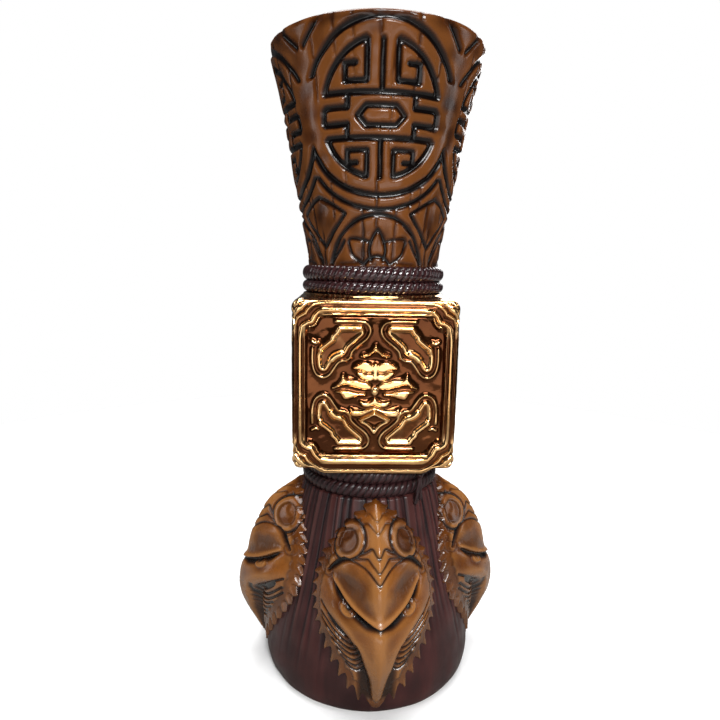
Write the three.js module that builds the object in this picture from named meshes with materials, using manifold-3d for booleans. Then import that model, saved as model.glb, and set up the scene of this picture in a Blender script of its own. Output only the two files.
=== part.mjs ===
// Tiki mug: a flared cup on a rope-bound neck, a square ornamented block, and a bell-shaped skirt
// that carries four bird masks. Hollow from the rim down to the floor of the skirt.
// Millimetres, +Z up, origin at the centre of the foot, front towards -Y.
import * as THREE from 'three';
import { mergeVertices } from 'three/addons/utils/BufferGeometryUtils.js';
import Module from 'manifold-3d';

const wasm = await Module();
wasm.setup();

// ---- Driving dimensions ----
const HEIGHT = 250;
const WALL = 4.6; // thickness of the cast walls
const GAP = 0.3; // clearance between neighbouring pieces
const ROUND_SEGMENTS = 40;
const SIDES = ['front', 'right', 'back', 'left']; // of the block and of the skirt, each a quarter turn on

const LIP_RADIUS = WALL / 2;
const LIP_STEPS = 6;
const RIM_RADIUS = 41.3;
const CUP_LOW = 169.6; // underside of the cup wall, on top of the upper rope
const NECK_RADIUS = 23.9; // outside of both necks, inside the ropes
const NECK_BORE = NECK_RADIUS - WALL;
// [height, outer radius] up the outside of the cup, between its underside and its lip
const CUP_PROFILE = [[CUP_LOW, 26.4], [175, 26.9], [181, 28.0], [207, 33.0], [230, 37.1]];
const CUP_LEVELS = [CUP_LOW, 175, 181, 194, 207, 220, 234]; // heights of the facets' edges
const CUP_FLOOR_SLOPE = 172; // where the inside of the cup runs into the neck's bore

const BLOCK_HALF = 31;
const BLOCK_LOW = 93;
const BLOCK_HIGH = 157.5;
const BLOCK_CORNER = 3.6; // radius of the upright corners
const BLOCK_BEVEL = 2;
const COLLAR_RADIUS = 27.5; // shallow seat for the upper rope
const COLLAR_HIGH = 158.9;
const COLLAR_LOW = 91.7; // underside of the ring that sits on the lower rope
const LIP_DROP = 2.3; // how far the frame of each face hangs below the block, in front of the lower rope
const LIP_THICKNESS = 1.9;
const LIP_HALF_WIDTH = 24;
const LIP_SLANT = 3; // inward slope of the lip's two ends
const POCKET_DEPTH = 2.4;
const POCKET_HALF_WIDTH = 25.3;
const POCKET_HALF_HEIGHT = 26.4;
const NOTCH = 5.5; // size of the notched corners of each panel
const PANEL_THICKNESS = 1.1;
const RELIEF_ROOT = 0.2; // how far the relief reaches into its plate
const LEAF_HEIGHT = 2.0;
const LEAF_BEVEL = 0.6;
const LEAF_ROOT = 1.2; // from the middle of the panel
const LEAF_TIP = 16;
const LEAF_LOBE = [6.2, 9.5]; // across and along, at the leaf's widest point
const LEAF_LOW_BEND = [7.5, 4.5];
const LEAF_HIGH_BEND = [2.4, 10.5];
const SCROLL_HEIGHT = 0.9;
const SCROLL_BEVEL = 0.4;
// Outline of a corner scroll, across and up from the middle of the panel: start, then [bend, end] pairs
const SCROLL_START = [4.6, 22.6];
const SCROLL_SIDES = [
  [[9, 22.6], [13.5, 22.6]],
  [[16.5, 17.5], [21.4, 14.2]],
  [[21.4, 11.3], [21.4, 8.4]],
  [[19, 5.6], [16.4, 8.4]],
  [[12.4, 9.2], [11, 13.2]],
  [[6.6, 15.6], [4.6, 22.6]],
];

const ROPE_RADIUS = 28.8; // outside of the rope turns
const ROPE_SIDES = 8; // of a turn's oval section
// [low, high] of each turn
const ROPE_TURNS = {
  upper_rope_top: [163.8, 169.2],
  upper_rope_bottom: [159.3, 163.5],
  lower_rope_top: [86.0, 91.4],
  lower_rope_bottom: [80.4, 85.7],
};
const TAIL_TURN = 38; // degrees round from the front
const TAIL_THICKNESS = 1.6;
const KNOT_RADIUS = 1.5;
const KNOT_HEIGHT = 88.8;
const KNOT_STAND_OFF = 0.7; // further out than the loose ends
// [turn from the knot in radians, height of the loose end]
const TAIL_ENDS = [[-0.07, 75.6], [0.04, 77.1]];

const FOOT_RING = 36; // inner radius of the ring that the mug stands on
const FOOT_RECESS = 2;
const FOOT_EDGE = 1; // width of the slope inside the ring
const FLOOR_TOP = 6.6;
const FLOOR_CORNER = 1.4; // chamfer between the floor and the inside wall
const FLOOR_EDGE = 5;
const SHOULDER = 7; // from the top of the skirt down to where the inside narrows into the neck
const SKIRT_HIGH = 80; // underside of the lower rope
// [height, outer radius] up the outside of the skirt
const SKIRT_PROFILE = [
  [0, 43.4], [3, 44.3], [8, 44.8], [14, 44.4], [25, 42.2], [35, 39.6],
  [45, 37.0], [55, 34.6], [65, 32.2], [75, 29.8], [SKIRT_HIGH, 28.3],
];
const FOOT_LEVELS = [0, 1.2, 2.6];
const SKIRT_FIRST_LEVEL = 6;
const SKIRT_LEVELS = 11;
const INSIDE_LEVELS = 6;

const MASK_TURN = 2.5; // degrees that the masks sit round from the block's faces
const MASK_GAP = 0.4;
const MASK_RIM = 1.6; // thickness of a mask at its border
const MASK_SLOPE = 1.3; // how fast a mask falls away from its ridge; 1 is straight
const MASK_COLUMNS = 10;
const MASK_ROWS = 18;
// [height, half-width along the skirt, radius of the middle ridge]
const MASK_PROFILE = [
  [2.6, 2.0, 45.9], [6, 8.5, 46.0], [12, 14.3, 49.0], [19, 19.5, 53.6], [25, 23.2, 56.3],
  [32, 25.2, 57.3], [40, 26.0, 55.8], [46, 25.4, 53.5], [50, 24.4, 52.9], [60, 21.2, 49.2],
  [65.5, 17.4, 46.2], [71.3, 12.6, 41.4], [76.3, 6.4, 35.0], [79.3, 1.6, 31.4],
];

// ---- Colours ----
const amberGlaze = { color: 0x7a4a20, roughness: 0.3, metalness: 0 };
const maskGlaze = { color: 0x8a5526, roughness: 0.35, metalness: 0 };
const goldLustre = { color: 0xd9a545, roughness: 0.16, metalness: 1 };
const ropeGlaze = { color: 0x3c2427, roughness: 0.3, metalness: 0 };
const skirtGlaze = { color: 0x4a2629, roughness: 0.4, metalness: 0 };

const mug = new THREE.Group();

function addPiece(name, geometry, finish, turn = 0) {
  const mesh = new THREE.Mesh(geometry, new THREE.MeshStandardMaterial(finish));
  mesh.name = name;
  mesh.rotation.z = turn;
  mug.add(mesh);
}

// ---- Shape helpers ----
function weld(geometry) {
  const bare = geometry.clone();
  bare.deleteAttribute('normal');
  bare.deleteAttribute('uv');
  return mergeVertices(bare);
}

function toSolid(geometry) {
  const welded = weld(geometry);
  return new wasm.Manifold(new wasm.Mesh({
    numProp: 3,
    vertProperties: new Float32Array(welded.attributes.position.array),
    triVerts: new Uint32Array(welded.index.array),
  }));
}

function toGeometry(solid) {
  const mesh = solid.getMesh();
  const geometry = new THREE.BufferGeometry();
  geometry.setAttribute('position', new THREE.BufferAttribute(mesh.vertProperties, 3));
  geometry.setIndex(new THREE.BufferAttribute(mesh.triVerts, 1));
  geometry.computeVertexNormals();
  return geometry;
}

// Smooth function of height through [height, value, ...] rows; column picks the value.
function curveThrough(rows, column = 1) {
  const heights = rows.map((row) => row[0]);
  const values = rows.map((row) => row[column]);
  const interpolant = new THREE.CubicInterpolant(heights, values, 1);
  return (height) => interpolant.evaluate(height)[0];
}

// Solid of revolution about Z from [radius, height] points that run up the outside and down the inside.
function revolve(points) {
  const profile = points.map(([radius, height]) => new THREE.Vector2(radius, height));
  return new THREE.LatheGeometry(profile, ROUND_SEGMENTS).rotateX(Math.PI / 2);
}

function cylinder(radius, low, high) {
  const geometry = new THREE.CylinderGeometry(radius, radius, high - low, ROUND_SEGMENTS);
  return geometry.rotateX(Math.PI / 2).translate(0, 0, (low + high) / 2);
}

// ---- Cup: open at the rim, with a neck that passes down inside the upper rope ----
function cupGeometry() {
  const radiusAt = curveThrough(CUP_PROFILE.concat([[HEIGHT - LIP_RADIUS, RIM_RADIUS]]));
  const outside = CUP_LEVELS.map((z) => [radiusAt(z), z]);
  const lip = [];
  for (let step = 0; step <= LIP_STEPS; step += 1) {
    const angle = (Math.PI * step) / LIP_STEPS;
    const radius = RIM_RADIUS - LIP_RADIUS + LIP_RADIUS * Math.cos(angle);
    lip.push([radius, HEIGHT - LIP_RADIUS + LIP_RADIUS * Math.sin(angle)]);
  }
  const inside = CUP_LEVELS.slice(2).reverse().map((z) => [radiusAt(z) - WALL, z]);
  const neckLow = COLLAR_HIGH + GAP;
  const start = [NECK_RADIUS, neckLow];
  return revolve([
    start, [NECK_RADIUS, CUP_LOW], ...outside, ...lip, ...inside,
    [NECK_BORE, CUP_FLOOR_SLOPE], [NECK_BORE, neckLow], start,
  ]);
}

// ---- Rope turn: a ring of oval section around a neck ----
function ropeGeometry(low, high) {
  const innerRadius = NECK_RADIUS + GAP;
  const middleRadius = (innerRadius + ROPE_RADIUS) / 2;
  const section = [];
  for (let side = 0; side <= ROPE_SIDES; side += 1) {
    const angle = (2 * Math.PI * side) / ROPE_SIDES;
    const radius = middleRadius + (ROPE_RADIUS - middleRadius) * Math.cos(angle);
    section.push([radius, (low + high) / 2 + ((high - low) / 2) * Math.sin(angle)]);
  }
  return revolve(section);
}

// ---- Rope tail: a small knot with two loose ends that hang over the lower rope ----
function ropeTailGeometry() {
  const tailAngle = THREE.MathUtils.degToRad(TAIL_TURN);
  const thickness = TAIL_THICKNESS / 2;
  const hangRadius = ROPE_RADIUS + thickness + 2 * GAP;
  const aroundRope = (angle, radius, z) => new THREE.Vector3(
    radius * Math.sin(angle), -radius * Math.cos(angle), z,
  );
  const knot = new THREE.SphereGeometry(KNOT_RADIUS, 10, 8).rotateX(Math.PI / 2);
  knot.translate(...aroundRope(tailAngle, hangRadius + KNOT_STAND_OFF, KNOT_HEIGHT).toArray());
  let tail = toSolid(knot);
  for (const [spread, low] of TAIL_ENDS) {
    const route = new THREE.CatmullRomCurve3([
      aroundRope(tailAngle, hangRadius + GAP, KNOT_HEIGHT),
      aroundRope(tailAngle + spread / 2, hangRadius + GAP / 2, (KNOT_HEIGHT + low) / 2),
      aroundRope(tailAngle + spread, hangRadius, low),
    ]);
    const section = new THREE.Shape();
    section.absellipse(0, 0, thickness, thickness, 0, 2 * Math.PI);
    const options = { steps: 6, curveSegments: 4, extrudePath: route };
    tail = tail.add(toSolid(new THREE.ExtrudeGeometry(section, options)));
  }
  return toGeometry(tail);
}

// ---- Block: a hollow square casing with a pocket in each face ----
function roundedSquare(half, corner) {
  const shape = new THREE.Shape();
  const inner = half - corner;
  shape.absarc(inner, inner, corner, 0, Math.PI / 2);
  shape.absarc(-inner, inner, corner, Math.PI / 2, Math.PI);
  shape.absarc(-inner, -inner, corner, Math.PI, 1.5 * Math.PI);
  shape.absarc(inner, -inner, corner, 1.5 * Math.PI, 2 * Math.PI);
  return shape;
}

// Rectangle whose corners are cut by inward round notches.
function notchedOutline(halfWidth, halfHeight, notch) {
  const shape = new THREE.Shape();
  const quarter = Math.PI / 2;
  shape.moveTo(halfWidth, -halfHeight + notch);
  shape.lineTo(halfWidth, halfHeight - notch);
  shape.absarc(halfWidth, halfHeight, notch, 3 * quarter, 2 * quarter, true);
  shape.lineTo(-halfWidth + notch, halfHeight);
  shape.absarc(-halfWidth, halfHeight, notch, 4 * quarter, 3 * quarter, true);
  shape.lineTo(-halfWidth, -halfHeight + notch);
  shape.absarc(-halfWidth, -halfHeight, notch, quarter, 0, true);
  shape.lineTo(halfWidth - notch, -halfHeight);
  shape.absarc(halfWidth, -halfHeight, notch, 2 * quarter, quarter, true);
  return shape;
}

// Lower lip of the frame on the front face: it reaches a little up into the casing.
function lipShape() {
  const low = -(BLOCK_HIGH - BLOCK_LOW) / 2 - LIP_DROP;
  const high = low + LIP_DROP + BLOCK_BEVEL;
  const lip = new THREE.Shape();
  lip.moveTo(-LIP_HALF_WIDTH + LIP_SLANT, low);
  lip.lineTo(LIP_HALF_WIDTH - LIP_SLANT, low);
  lip.lineTo(LIP_HALF_WIDTH, high);
  lip.lineTo(-LIP_HALF_WIDTH, high);
  lip.closePath();
  return lip;
}

// Plate on the front face (outline in X and Z), from one depth out to another along -Y.
function frontPlate(shape, from, to, bevel = 0) {
  const geometry = new THREE.ExtrudeGeometry(shape, {
    depth: to - from - bevel,
    bevelEnabled: bevel > 0,
    bevelThickness: bevel,
    bevelSize: bevel,
    bevelOffset: -bevel,
    bevelSegments: 1,
    curveSegments: 3,
  });
  const middle = (BLOCK_LOW + BLOCK_HIGH) / 2;
  return geometry.rotateX(Math.PI / 2).translate(0, -from, middle);
}

function blockGeometry() {
  const bodyHeight = BLOCK_HIGH - BLOCK_LOW;
  const casing = new THREE.ExtrudeGeometry(roundedSquare(BLOCK_HALF, BLOCK_CORNER), {
    depth: bodyHeight - 2 * BLOCK_BEVEL,
    bevelThickness: BLOCK_BEVEL,
    bevelSize: BLOCK_BEVEL,
    bevelOffset: -BLOCK_BEVEL,
    bevelSegments: 2,
    curveSegments: 3,
  }).translate(0, 0, BLOCK_LOW + BLOCK_BEVEL);
  const cavityHalf = BLOCK_HALF - POCKET_DEPTH - WALL;
  const cavity = new THREE.BoxGeometry(2 * cavityHalf, 2 * cavityHalf, bodyHeight - 2 * WALL);
  cavity.translate(0, 0, (BLOCK_LOW + BLOCK_HIGH) / 2);
  let block = toSolid(casing);
  block = block.add(toSolid(cylinder(COLLAR_RADIUS, BLOCK_HIGH - WALL, COLLAR_HIGH)));
  block = block.add(toSolid(cylinder(COLLAR_RADIUS, COLLAR_LOW, BLOCK_LOW + WALL)));
  block = block.subtract(toSolid(cavity));
  block = block.subtract(toSolid(cylinder(NECK_BORE, BLOCK_LOW - WALL, HEIGHT)));
  const pocketShape = notchedOutline(POCKET_HALF_WIDTH, POCKET_HALF_HEIGHT, NOTCH);
  const pocket = frontPlate(pocketShape, BLOCK_HALF - POCKET_DEPTH, BLOCK_HALF + WALL);
  const lip = frontPlate(lipShape(), BLOCK_HALF - LIP_THICKNESS, BLOCK_HALF);
  for (let face = 0; face < SIDES.length; face += 1) {
    const turn = (face * Math.PI) / 2;
    block = block.subtract(toSolid(pocket.clone().rotateZ(turn)));
    block = block.add(toSolid(lip.clone().rotateZ(turn)));
  }
  return toGeometry(block);
}

// ---- Block panel: plate with four leaves around its middle and a scroll in each corner ----
function leafShape() {
  const [lobeAcross, lobeAlong] = LEAF_LOBE;
  const [lowAcross, lowAlong] = LEAF_LOW_BEND;
  const [highAcross, highAlong] = LEAF_HIGH_BEND;
  const leaf = new THREE.Shape();
  leaf.moveTo(0, LEAF_ROOT);
  leaf.quadraticCurveTo(lowAcross, lowAlong, lobeAcross, lobeAlong);
  leaf.quadraticCurveTo(highAcross, highAlong, 0, LEAF_TIP);
  leaf.quadraticCurveTo(-highAcross, highAlong, -lobeAcross, lobeAlong);
  leaf.quadraticCurveTo(-lowAcross, lowAlong, 0, LEAF_ROOT);
  return leaf;
}

function scrollShape() {
  const scroll = new THREE.Shape();
  scroll.moveTo(...SCROLL_START);
  for (const [bend, end] of SCROLL_SIDES) {
    scroll.quadraticCurveTo(...bend, ...end);
  }
  return scroll;
}

function panelGeometry() {
  const back = BLOCK_HALF - POCKET_DEPTH + GAP;
  const field = back + PANEL_THICKNESS;
  const outline = notchedOutline(POCKET_HALF_WIDTH - GAP, POCKET_HALF_HEIGHT - GAP, NOTCH + GAP);
  let panel = toSolid(frontPlate(outline, back, field));
  const root = field - RELIEF_ROOT;
  const middle = new THREE.Vector2();
  const corners = [[1, 1], [-1, 1], [-1, -1], [1, -1]];
  corners.forEach(([sideX, sideZ], quarter) => {
    const turn = (quarter * Math.PI) / 2;
    const leafPoints = leafShape().getPoints(3).map((point) => point.clone().rotateAround(middle, turn));
    const leaf = frontPlate(new THREE.Shape(leafPoints), root, field + LEAF_HEIGHT, LEAF_BEVEL);
    const scrollPoints = scrollShape().getPoints(2).map(
      (point) => new THREE.Vector2(point.x * sideX, point.y * sideZ),
    );
    const scroll = frontPlate(new THREE.Shape(scrollPoints), root, field + SCROLL_HEIGHT, SCROLL_BEVEL);
    panel = panel.add(toSolid(leaf)).add(toSolid(scroll));
  });
  return toGeometry(panel);
}

// ---- Skirt: a bell with a floor, a recessed foot and a neck inside the lower rope ----
const skirtRadiusAt = curveThrough(SKIRT_PROFILE);

function evenLevels(low, high, count) {
  return Array.from({ length: count + 1 }, (_, step) => low + ((high - low) * step) / count);
}

function skirtGeometry() {
  const outside = FOOT_LEVELS.concat(evenLevels(SKIRT_FIRST_LEVEL, SKIRT_HIGH, SKIRT_LEVELS))
    .map((z) => [skirtRadiusAt(z), z]);
  const inside = evenLevels(FLOOR_TOP + WALL, SKIRT_HIGH - SHOULDER, INSIDE_LEVELS).reverse()
    .map((z) => [skirtRadiusAt(z) - WALL, z]);
  const neckHigh = COLLAR_LOW - GAP;
  const cornerRadius = skirtRadiusAt(FLOOR_TOP) - WALL;
  return revolve([
    [0, FOOT_RECESS], [FOOT_RING - FOOT_EDGE, FOOT_RECESS], [FOOT_RING, 0], ...outside,
    [NECK_RADIUS, SKIRT_HIGH], [NECK_RADIUS, neckHigh], [NECK_BORE, neckHigh], [NECK_BORE, SKIRT_HIGH],
    ...inside, [cornerRadius - FLOOR_CORNER, FLOOR_TOP + FLOOR_CORNER], [cornerRadius - FLOOR_EDGE, FLOOR_TOP],
    [0, FLOOR_TOP],
  ]);
}

// ---- Bird mask: a shield bent around the skirt, rising to a ridge that ends in the beak ----
const maskHalfWidthAt = curveThrough(MASK_PROFILE, 1);
const maskRidgeAt = curveThrough(MASK_PROFILE, 2);

function maskGeometry() {
  const low = MASK_PROFILE[0][0];
  const high = MASK_PROFILE[MASK_PROFILE.length - 1][0];
  const shield = weld(new THREE.BoxGeometry(2, 2, 1, MASK_COLUMNS, 1, MASK_ROWS));
  const position = shield.attributes.position;
  for (let index = 0; index < position.count; index += 1) {
    const across = position.getX(index);
    const isFront = position.getY(index) < 0;
    const z = THREE.MathUtils.lerp(low, high, position.getZ(index) + 0.5);
    const backRadius = skirtRadiusAt(z) + MASK_GAP;
    const rimRadius = backRadius + MASK_RIM;
    const crown = (1 - Math.abs(across)) ** MASK_SLOPE;
    const frontRadius = rimRadius + Math.max(maskRidgeAt(z) - rimRadius, 0) * crown;
    const radius = isFront ? frontRadius : backRadius;
    const angle = (across * maskHalfWidthAt(z)) / backRadius;
    position.setXYZ(index, radius * Math.sin(angle), -radius * Math.cos(angle), z);
  }
  shield.computeVertexNormals();
  return shield;
}

// ---- Assembly ----
addPiece('cup_shell', cupGeometry(), amberGlaze);
for (const [name, [low, high]] of Object.entries(ROPE_TURNS)) {
  addPiece(name, ropeGeometry(low, high), ropeGlaze);
}
addPiece('lower_rope_tail', ropeTailGeometry(), ropeGlaze);
addPiece('block_shell', blockGeometry(), goldLustre);
addPiece('skirt_shell', skirtGeometry(), skirtGlaze);
SIDES.forEach((side, index) => {
  const quarterTurn = (index * Math.PI) / 2;
  addPiece(`block_panel_${side}`, panelGeometry(), goldLustre, quarterTurn);
  addPiece(`mask_${side}`, maskGeometry(), maskGlaze, quarterTurn + THREE.MathUtils.degToRad(MASK_TURN));
});

export default mug;
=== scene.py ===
import math

import bpy
import numpy as np
from mathutils import Matrix, Vector


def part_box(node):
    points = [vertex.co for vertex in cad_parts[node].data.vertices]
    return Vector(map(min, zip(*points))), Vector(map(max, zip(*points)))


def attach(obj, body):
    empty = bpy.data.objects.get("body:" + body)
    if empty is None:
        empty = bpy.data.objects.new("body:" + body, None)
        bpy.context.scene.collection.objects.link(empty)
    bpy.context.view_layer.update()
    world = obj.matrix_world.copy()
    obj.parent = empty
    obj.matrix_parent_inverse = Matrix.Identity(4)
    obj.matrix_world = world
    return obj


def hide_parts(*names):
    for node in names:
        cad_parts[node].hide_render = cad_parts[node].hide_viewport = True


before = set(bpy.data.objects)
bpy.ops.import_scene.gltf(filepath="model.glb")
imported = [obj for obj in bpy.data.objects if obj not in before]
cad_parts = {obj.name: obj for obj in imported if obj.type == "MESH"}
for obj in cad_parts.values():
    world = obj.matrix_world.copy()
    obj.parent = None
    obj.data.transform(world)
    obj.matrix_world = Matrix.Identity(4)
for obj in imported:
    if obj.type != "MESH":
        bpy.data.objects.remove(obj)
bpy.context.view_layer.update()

MM = 0.001
SIDES = ("front", "right", "back", "left")
TWO_PI = 2 * math.pi


def node_box(node):
    """Lowest and highest corner of a CAD node, in millimetres."""
    low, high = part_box(node)
    return np.array(low) / MM, np.array(high) / MM


# ---- Driving dimensions, from the frame ----
cup_low_corner, cup_high_corner = node_box("cup_shell")
block_low_corner, block_high_corner = node_box("block_shell")
skirt_low_corner, skirt_high_corner = node_box("skirt_shell")
HEIGHT = cup_high_corner[2]
RIM_RADIUS = cup_high_corner[0]
NECK_FOOT = cup_low_corner[2]
BLOCK_HALF = block_high_corner[0]
LIP_DROP = 2.3
BLOCK_LOW = block_low_corner[2] + LIP_DROP
COLLAR_HIGH = block_high_corner[2]
SKIRT_NECK_HIGH = skirt_high_corner[2]
ROPE_RADIUS = node_box("upper_rope_top")[1][0]

WALL = 4.6
NECK_RADIUS = 23.9
NECK_BORE = NECK_RADIUS - WALL
LIP_RADIUS = WALL / 2
CUP_LOW = 169.1
COLLAR_LOW = BLOCK_LOW - 1.3
COLLAR_RADIUS = 28.3
BLOCK_HIGH = COLLAR_HIGH - 1.4
BLOCK_MIDDLE = (BLOCK_LOW + BLOCK_HIGH) / 2
BLOCK_HALF_HEIGHT = (BLOCK_HIGH - BLOCK_LOW) / 2
POCKET_DEPTH = 2.4
POCKET_HALF = (25.3, 26.4)
SKIRT_HIGH = 80
FOOT_RING = 36
FOOT_RECESS = 2
FLOOR_TOP = 6.6
MASK_TURN = math.radians(2.5)

# [height, outer radius] rows
CUP_PROFILE = np.array([
    [CUP_LOW, 26.4], [175, 26.9], [181, 28.0], [207, 33.0], [230, 37.1], [HEIGHT - LIP_RADIUS, RIM_RADIUS],
])
SKIRT_PROFILE = np.array([
    [0, 43.4], [3, 44.3], [8, 44.8], [14, 44.4], [25, 42.2], [35, 39.6],
    [45, 37.0], [55, 34.6], [65, 32.2], [75, 29.8], [SKIRT_HIGH, 28.3],
])


# ---- Number helpers ----
def smooth_rows(rows, column=1):
    """Natural cubic curve through [height, value, ...] rows, as a function of height."""
    rows = np.asarray(rows, float)
    x, y = rows[:, 0], rows[:, column]
    step = np.diff(x)
    size = len(x)
    system = np.eye(size)
    right = np.zeros(size)
    for i in range(1, size - 1):
        system[i, i - 1:i + 2] = step[i - 1], 2 * (step[i - 1] + step[i]), step[i]
        right[i] = 6 * ((y[i + 1] - y[i]) / step[i] - (y[i] - y[i - 1]) / step[i - 1])
    bend = np.linalg.solve(system, right)

    def value(at):
        at = np.clip(np.asarray(at, float), x[0], x[-1])
        k = np.clip(np.searchsorted(x, at, side="right") - 1, 0, size - 2)
        after, before = at - x[k], x[k + 1] - at
        h = step[k]
        return (
            (bend[k] * before**3 + bend[k + 1] * after**3) / (6 * h)
            + (y[k] / h - bend[k] * h / 6) * before
            + (y[k + 1] / h - bend[k + 1] * h / 6) * after
        )

    return value


def rise(x, low, high):
    """0 below low, 1 above high, smooth between."""
    t = np.clip((x - low) / (high - low), 0, 1)
    return t * t * (3 - 2 * t)


def line_distance(px, py, points, closed=False):
    """Distance from each (px, py) to a polyline."""
    points = np.asarray(points, float)
    ends = np.roll(points, -1, axis=0) if closed else points[1:]
    starts = points if closed else points[:-1]
    best = np.full(px.shape, 1e9)
    for (ax, ay), (bx, by) in zip(starts, ends):
        dx, dy = bx - ax, by - ay
        length = dx * dx + dy * dy
        t = np.clip(((px - ax) * dx + (py - ay) * dy) / max(length, 1e-12), 0, 1)
        np.minimum(best, np.hypot(px - ax - t * dx, py - ay - t * dy), out=best)
    return best


def inside(px, py, points):
    """True where (px, py) is inside the closed polygon."""
    points = np.asarray(points, float)
    result = np.zeros(px.shape, bool)
    for (ax, ay), (bx, by) in zip(points, np.roll(points, -1, axis=0)):
        if ay == by:
            continue
        crosses = (ay > py) != (by > py)
        result ^= crosses & (px < ax + (py - ay) * (bx - ax) / (by - ay))
    return result


def outline_distance(px, py, points):
    """Signed distance to a closed polygon, negative inside."""
    distance = line_distance(px, py, points, closed=True)
    return np.where(inside(px, py, points), -distance, distance)


def bend_through(points, closed=False, steps=6):
    """Catmull-Rom curve through the points."""
    points = np.asarray(points, float)
    size = len(points)
    count = size if closed else size - 1
    curve = []
    for i in range(count):
        if closed:
            p = [points[(i + k) % size] for k in (-1, 0, 1, 2)]
        else:
            p = [points[min(max(i + k, 0), size - 1)] for k in (-1, 0, 1, 2)]
        for t in np.arange(steps) / steps:
            curve.append(0.5 * (
                2 * p[1] + (p[2] - p[0]) * t + (2 * p[0] - 5 * p[1] + 4 * p[2] - p[3]) * t**2
                + (3 * p[1] - p[0] - 3 * p[2] + p[3]) * t**3
            ))
    if not closed:
        curve.append(points[-1])
    return np.array(curve)


def groove(distance, half_width, soft=0.4):
    """1 in the middle of a line, 0 outside it."""
    return 1 - rise(distance, half_width - soft, half_width + soft)


def soften(field, reach, wrap=False):
    """Gaussian blur of a grid by reach cells along (rows, columns); wrap joins the columns."""
    for axis, cells in enumerate(reach):
        if cells <= 0:
            continue
        width = max(1, int(round(3 * cells)))
        kernel = np.exp(-0.5 * (np.arange(-width, width + 1) / cells) ** 2)
        kernel /= kernel.sum()
        pad = [(0, 0), (0, 0)]
        pad[axis] = (width, width)
        padded = np.pad(field, pad, mode="wrap" if wrap and axis == 1 else "edge")
        field = sum(
            weight * np.take(padded, range(i, i + field.shape[axis]), axis=axis)
            for i, weight in enumerate(kernel)
        )
    return field


def waves(x, y, size, seed, count=14):
    """Smooth bumps of about the given size, between about -1 and 1."""
    random = np.random.default_rng(seed)
    total = np.zeros(np.broadcast(x, y).shape)
    for _ in range(count):
        angle = random.uniform(0, TWO_PI)
        stretch = random.uniform(0.7, 1.4) * TWO_PI / size
        phase = random.uniform(0, TWO_PI)
        total = total + np.sin(stretch * (x * math.cos(angle) + y * math.sin(angle)) + phase)
    return total / math.sqrt(count)


# ---- Mesh helpers ----
def make_mesh(name, points, faces, marks, materials, nodes, material_index=None):
    """Writes points in millimetres as a Blender object that rides on the root and replaces CAD nodes."""
    mesh = bpy.data.meshes.new(name)
    points = np.asarray(points, float).reshape(-1, 3)
    faces = np.asarray(faces, np.int32)
    mesh.vertices.add(len(points))
    mesh.vertices.foreach_set("co", (points * MM).astype(np.float32).ravel())
    mesh.loops.add(faces.size)
    mesh.loops.foreach_set("vertex_index", faces.ravel())
    mesh.polygons.add(len(faces))
    mesh.polygons.foreach_set("loop_start", np.arange(0, faces.size, faces.shape[1], dtype=np.int32))
    for material in materials:
        mesh.materials.append(material)
    if material_index is not None:
        mesh.polygons.foreach_set("material_index", material_index.astype(np.int32))
    mesh.update(calc_edges=True)
    mesh.shade_smooth()
    for mark, values in marks.items():
        layer = mesh.attributes.new(mark, "FLOAT", "POINT")
        layer.data.foreach_set("value", np.asarray(values, np.float32).ravel())
    piece = bpy.data.objects.new(name, mesh)
    bpy.context.scene.collection.objects.link(piece)
    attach(piece, "root")
    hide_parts(*nodes)
    return piece


def grid_faces(rows, columns, wrap_columns=True, wrap_rows=False):
    """Quads of a grid whose rows go up and whose columns go round anticlockwise seen from above."""
    index = np.arange(rows * columns).reshape(rows, columns)
    if wrap_columns:
        index = np.concatenate([index, index[:, :1]], axis=1)
    if wrap_rows:
        index = np.concatenate([index, index[:1]], axis=0)
    corners = [index[:-1, :-1], index[:-1, 1:], index[1:, 1:], index[1:, :-1]]
    return np.stack(corners, axis=-1).reshape(-1, 4)


def closed_relief(front, back, kept):
    """Closed body from a front grid and a back grid of points, over the kept quads of the grid."""
    rows, columns = front.shape[:2]
    f = np.arange(rows * columns).reshape(rows, columns)
    b = f + rows * columns
    padded = np.pad(kept, 1)
    faces = []

    def add(mask, corners):
        faces.append(np.stack([corner[mask] for corner in corners], axis=-1))

    low_left, low_right = (slice(None, -1), slice(None, -1)), (slice(None, -1), slice(1, None))
    high_left, high_right = (slice(1, None), slice(None, -1)), (slice(1, None), slice(1, None))
    add(kept, [f[low_left], f[low_right], f[high_right], f[high_left]])
    add(kept, [b[low_left], b[high_left], b[high_right], b[low_right]])
    add(kept & ~padded[1:-1, :-2], [f[low_left], f[high_left], b[high_left], b[low_left]])
    add(kept & ~padded[1:-1, 2:], [f[high_right], f[low_right], b[low_right], b[high_right]])
    add(kept & ~padded[:-2, 1:-1], [f[low_right], f[low_left], b[low_left], b[low_right]])
    add(kept & ~padded[2:, 1:-1], [f[high_left], f[high_right], b[high_right], b[high_left]])
    faces = np.concatenate(faces)
    points = np.concatenate([front.reshape(-1, 3), back.reshape(-1, 3)])
    used, renumbered = np.unique(faces, return_inverse=True)
    return points[used], renumbered.reshape(faces.shape), used


def around(radius, angle, z):
    """Points at an angle from the front (-Y), turning towards +X."""
    return np.stack(np.broadcast_arrays(radius * np.sin(angle), -radius * np.cos(angle), z), axis=-1)


def relief_marks(height, reach, wrap=False, cavity_scale=0.45, raised_scale=0.3):
    """How deep each point lies in a recess, the mark that the materials darken as painted shade, and how proud it
    stands on an edge, from 0 to 1.
    """
    offset = soften(height, reach, wrap) - height
    return {
        "cavity": np.clip(offset / cavity_scale, 0, 1),
        "raised": np.clip(-offset / raised_scale, 0, 1),
    }


# ---- Materials ----
def node_tree(name):
    material = bpy.data.materials.new(name)
    material.use_nodes = True
    tree = material.node_tree
    shader = tree.nodes["Principled BSDF"]
    return material, tree, shader


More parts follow.
